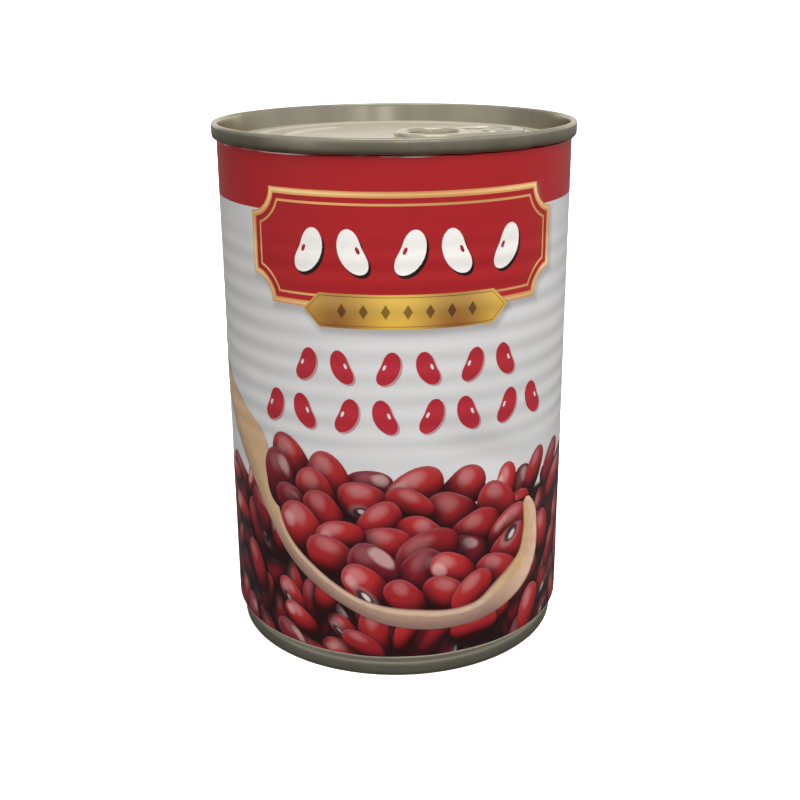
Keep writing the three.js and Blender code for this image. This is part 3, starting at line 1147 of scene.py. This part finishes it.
class CAN_OT_base(bpy.types.Operator):
    """Adds the bottom end: the seam that the can stands on and the recessed panel"""

    bl_idname = "can.base"
    bl_label = "Base"

    def execute(self, context):
        sizes, colours = settings()
        corners = [
            (0, 3.2), (20.0, 3.2, 0.4), (20.9, 2.75, 0.5), (21.8, 3.2, 0.4), (25.5, 3.2, 0.4),
            (26.4, 2.75, 0.5), (27.3, 3.2, 0.4), (31.4, 3.2, 0.4), (32.1, 4.1, 0.4),
            (33.2, 4.1, 0.4), (33.9, 0.5, 0.4), (34.75, 0, 0.45), (FOOT_R, 0.2, 0.6),
            (FOOT_R, 2.95, 0.85), (NECK_R + 0.25, 3.5, 0.3), (NECK_R - 0.3, 4.3), (0, 4.3)]
        profile = resampled(rounded(corners), 0.8)
        points, faces, angle = turned(profile, 288)
        radius = np.hypot(points[:, 0], points[:, 1])
        wobble = 0.03 * waves(angle, (7, 13, 29), (0.9, 2.1, 0.2))
        points[:, 2] += np.where((radius > NECK_R) & (points[:, 2] > 2.0), wobble, 0)
        # Painted shade on the foot, darker from 2.1 mm down to its lower edge, outside a radius of 30 mm
        look = steel_look("Base steel", colours.steel, 0.42, 6.0, 0.85, (2.1, 0.1, 30.0))
        add_piece("base", points, faces, look, "body_steel", ["end_bottom"])
        return {"FINISHED"}


NOSE_R = 6.5
LOOP_R = 8.4
LOOP_BACK = 12.6
FINGER = (-13.0, 5.4, 5.8)
TAB_CURL = 0.62


def egg(angle, inset):
    """Distance from the finger hole's middle to the tab's outline at each angle.

    The outline is the hull of the nose's circle and the loop's circle, met by a ray.
    """
    way = np.stack([np.cos(angle), np.sin(angle)], -1)
    middle = np.array((FINGER[0], 0.0))

    def hit(centre, radius):
        gap = np.array((centre, 0.0)) - middle
        b = way @ gap
        inside = b ** 2 - gap @ gap + radius ** 2
        return np.where(inside > 0, b + np.sqrt(np.maximum(inside, 0)), 0)

    nose, loop = NOSE_R - inset, LOOP_R - inset
    tilt = asin((loop - nose) / LOOP_BACK)
    edge = np.array((sin(tilt), cos(tilt)))
    start = np.array((-LOOP_BACK, 0.0)) + loop * edge
    reach = np.abs(way[:, 1])
    facing = way[:, 0] * edge[0] + reach * edge[1]
    flat = np.where(facing > 1e-6, ((start - middle) @ edge) / np.maximum(facing, 1e-6), 1e9)
    touch = middle[0] + flat * way[:, 0]
    between = (touch > start[0]) & (touch < nose * edge[0])
    return np.where(between, flat, np.maximum(hit(0, nose), hit(-LOOP_BACK, loop)))


class CAN_OT_tab(bpy.types.Operator):
    """Adds the ring-pull tab and its rivet"""

    bl_idname = "can.tab"
    bl_label = "Tab"

    def execute(self, context):
        sizes, colours = settings()
        look = steel_look("Tab steel", colours.tab, 0.2, 0.3, 0.95)
        bottom, top = TAB_LOW[2], TAB_HIGH[2]
        sides = 168
        angle = np.arange(sides) * 2 * pi / sides
        hole = FINGER[1] * FINGER[2] / np.hypot(FINGER[2] * np.cos(angle), FINGER[1] * np.sin(angle))
        outline = egg(angle, 0.0)
        # Across the tab: up the outer curl, over the top, down the finger hole's curl, back below.
        curl = np.linspace(-90, 90, 9)
        out_r = -TAB_CURL * (1 - np.cos(np.radians(curl)))
        middle_z = (bottom + top) / 2
        half = (top - bottom) / 2
        out_z = middle_z + half * np.sin(np.radians(curl))
        share = np.linspace(0, 1, 62)[1:-1]
        reach = outline[:, None] + out_r[None]
        back = hole[:, None] - out_r[None, ::-1]
        over = reach[:, -1:] + (back[:, :1] - reach[:, -1:]) * share[None]
        under = back[:, -1:] + (reach[:, :1] - back[:, -1:]) * share[None]
        distance = np.concatenate([reach, over, back, under], 1)
        x = FINGER[0] + distance * np.cos(angle)[:, None]
        y = distance * np.sin(angle)[:, None]
        z = np.concatenate([
            np.broadcast_to(out_z, reach.shape),
            self.top_height(x[:, 9:9 + len(share)], y[:, 9:9 + len(share)], over, outline, hole, top),
            np.broadcast_to(out_z[::-1], back.shape),
            np.full(under.shape, bottom)], 1)
        x, y = rotated(x, y, TAB_TURN)
        points = join(RIVET_AT[0] + x, RIVET_AT[1] + y, z).reshape(-1, 3)
        faces = grid_faces(sides, distance.shape[1], round_columns=True, round_rows=True)
        add_piece("tab", points, faces, look, "tab_steel", ["pull_tab"])
        self.rivet(look)
        return {"FINISHED"}

    def top_height(self, x, y, distance, outline, hole, top):
        """Top of the tab: rolled rims, a web sunk between them, and a groove round the rivet."""
        from_edge = np.minimum(outline[:, None] - distance, distance - hole[:, None])
        roll = 1 / (1 + np.exp((from_edge - 2.3) * 5))
        sunk = 0.45 * (1 - roll)
        far = np.hypot(x, y)
        island = 0.14 * np.exp(-((far - 4.0) / 0.35) ** 2) * (x > -3.0)
        return top - sunk - island

    def rivet(self, look):
        low, high = RIVET_LOW[2], RIVET_HIGH[2]
        head = RIVET_HIGH[0] - RIVET_AT[0]
        corners = [
            (0, low), (1.7, low), (1.7, high - 0.75), (head, high - 0.65, 0.25),
            (head - 0.35, high - 0.05, 0.8), (1.1, high, 0.4), (0.6, high - 0.18, 0.3), (0, high - 0.18)]
        points, faces, _ = turned(resampled(rounded(corners), 0.4), 48)
        points[:, :2] += RIVET_AT
        add_piece("rivet_head", points, faces, look, "tab_steel", ["rivet"])


class CAN_OT_emblem(bpy.types.Operator):
    """Adds the rows of bean figures on the plaque and below it"""

    bl_idname = "can.emblem"
    bl_label = "Figures"

    def execute(self, context):
        sizes, colours = settings()
        self.parts = []
        black, rose, red = linear(30, 14, 14), linear(178, 140, 142), linear(172, 40, 52)
        self.row(PLAQUE[0], 5, 9.8, 4.5, black, 1, (0.45, -0.6))
        self.row(PLAQUE[0], 5, 9.8, 4.5, colours.cream, 3, (0, 0), colours.band)
        for z, count, pitch, half in ((67.3, 6, 8.3, 3.5), (57.6, 8, 8.3, 3.7)):
            self.row(z, count, pitch, half, rose, 1, (0.4, -0.35))
            self.row(z, count, pitch, half, red, 3, (0, 0), colours.paper)
        flat, faces, lift, ink = [], [], [], []
        for part_flat, part_faces, part_lift, part_ink in self.parts:
            start = sum(len(f) for f in flat)
            flat.append(part_flat)
            faces += [[v + start for v in f] for f in part_faces]
            lift.append(np.full(len(part_flat), part_lift))
            ink.append(np.broadcast_to(part_ink, (len(part_flat), 3)))
        finish_print(
            "print_figures", np.concatenate(flat), faces, np.concatenate(lift), ink_look(sizes), sizes,
            ink=np.concatenate(ink))
        return {"FINISHED"}

    def row(self, z, count, pitch, half, ink, level, shift, eye=None):
        """A row of bean figures that lean to alternate sides, each with an eye in its hollow."""
        unit, faces = disc((0.2, 0.4, 0.6, 0.78, 0.9, 1.0), 40)
        place = (np.arange(count) - (count - 1) / 2) * pitch + PRINT_MIDDLE
        middles = np.stack([place, np.full(count, z)], -1) + shift
        side = np.where(np.arange(count) % 2, 1, -1)
        angles = np.radians(90 + 24 * side)

        def add(centres, long, wide, bend, at, tone):
            one = np.ones(count)
            shapes = beans(centres, angles, long * one, wide * one, bend * one, unit)
            self.parts.extend((shape, faces, at, tone) for shape in shapes)

        add(middles, half, half * 0.52, 0.85 * side, level, ink)
        if eye is not None:
            hollow = join(-np.sin(angles), np.cos(angles))
            dots = middles - hollow * (side * half * 0.12)[:, None]
            add(dots, half * 0.16, half * 0.075, 0.1, level + 2, eye)


STEPS = ("stage", "body", "label", "heap", "spoon", "emblem", "lid", "base", "tab")


class CAN_PT_panel(bpy.types.Panel):
    """Lists the can's sizes, colours and pieces"""

    bl_idname = "CAN_PT_panel"
    bl_label = "Food can"
    bl_space_type = "VIEW_3D"
    bl_region_type = "UI"
    bl_category = "Can"

    def draw(self, context):
        for group in (context.scene.can_sizes, context.scene.can_colours):
            for name in group.__annotations__:
                self.layout.prop(group, name)
        for step in STEPS:
            self.layout.operator("can." + step)


CLASSES = (
    CanSizes, CanColours, CAN_OT_stage, CAN_OT_body, CAN_OT_label, CAN_OT_heap, CAN_OT_spoon,
    CAN_OT_emblem, CAN_OT_lid, CAN_OT_base, CAN_OT_tab, CAN_PT_panel)


def register():
    for made in CLASSES:
        bpy.utils.register_class(made)
    bpy.types.Scene.can_sizes = PointerProperty(type=CanSizes)
    bpy.types.Scene.can_colours = PointerProperty(type=CanColours)


def unregister():
    del bpy.types.Scene.can_sizes
    del bpy.types.Scene.can_colours
    for made in reversed(CLASSES):
        bpy.utils.unregister_class(made)


def main():
    register()
    for step in STEPS:
        getattr(bpy.ops.can, step)()


if __name__ == "__main__":
    main()
